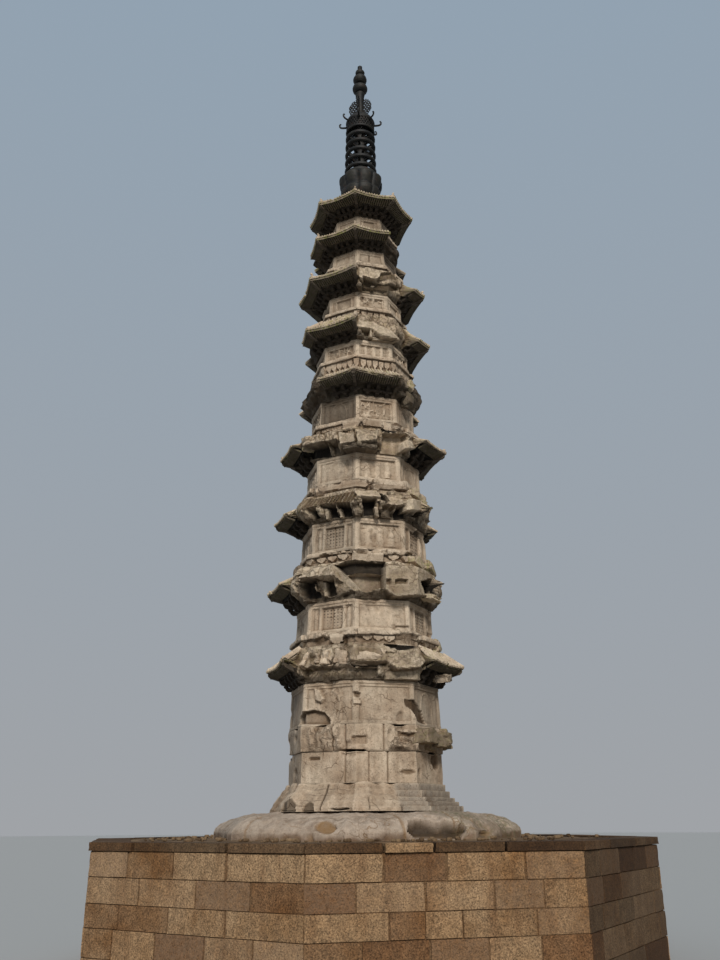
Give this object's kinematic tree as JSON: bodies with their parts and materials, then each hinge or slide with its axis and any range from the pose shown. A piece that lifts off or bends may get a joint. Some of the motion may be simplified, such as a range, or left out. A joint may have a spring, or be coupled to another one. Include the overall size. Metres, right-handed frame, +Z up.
{
  "type": "nine-storey octagonal stone pagoda",
  "caption": "Tall octagonal stone pagoda with eaves and balconies on every storey, weathered and partly broken, an iron finial and a masonry platform.",
  "frame": {"origin": "bottom centre of the platform, on the tower's axis", "axes": "+Z up along the tower; one face of the octagon looks along -Y"},
  "size_m": [7.4894, 7.4894, 15.62],
  "materials": {
    "white_stone": "weathered, pitted pale limestone",
    "restored_stone": "rough grey stone",
    "platform_stone": "tooled brown sandstone blocks",
    "platform_fill": "packed rubble and earth",
    "cast_iron": "dark weathered casting"
  },
  "bodies": {
    "root": {"platform_fill": "platform_fill", "platform_wall": "platform_stone", "platform_coping": "platform_stone", "base_slab": "restored_stone", "stepped_base": "white_stone", "base_waist": "white_stone", "base_top_course": "white_stone", "storey_1_wall": "white_stone", "storey_1_eaves": "white_stone", "storey_2_balcony": "white_stone", "storey_2_wall": "white_stone", "storey_2_eaves": "white_stone", "storey_3_balcony": "white_stone", "storey_3_wall": "white_stone", "storey_3_eaves": "white_stone", "storey_4_balcony": "white_stone", "storey_4_wall": "white_stone", "storey_4_eaves": "white_stone", "storey_5_balcony": "white_stone", "storey_5_wall": "white_stone", "storey_5_eaves": "white_stone", "storey_6_balcony": "white_stone", "storey_6_wall": "white_stone", "storey_6_eaves": "white_stone", "storey_7_balcony": "white_stone", "storey_7_wall": "white_stone", "storey_7_eaves": "white_stone", "storey_8_balcony": "white_stone", "storey_8_wall": "white_stone", "storey_8_eaves": "white_stone", "storey_9_balcony": "white_stone", "storey_9_wall": "white_stone", "storey_9_eaves": "white_stone", "finial_bowl": "cast_iron", "finial_dome": "cast_iron", "finial_rings": "cast_iron", "finial_canopy": "cast_iron", "finial_discs": "cast_iron", "finial_spire": "cast_iron"}
  },
  "joints": []
}
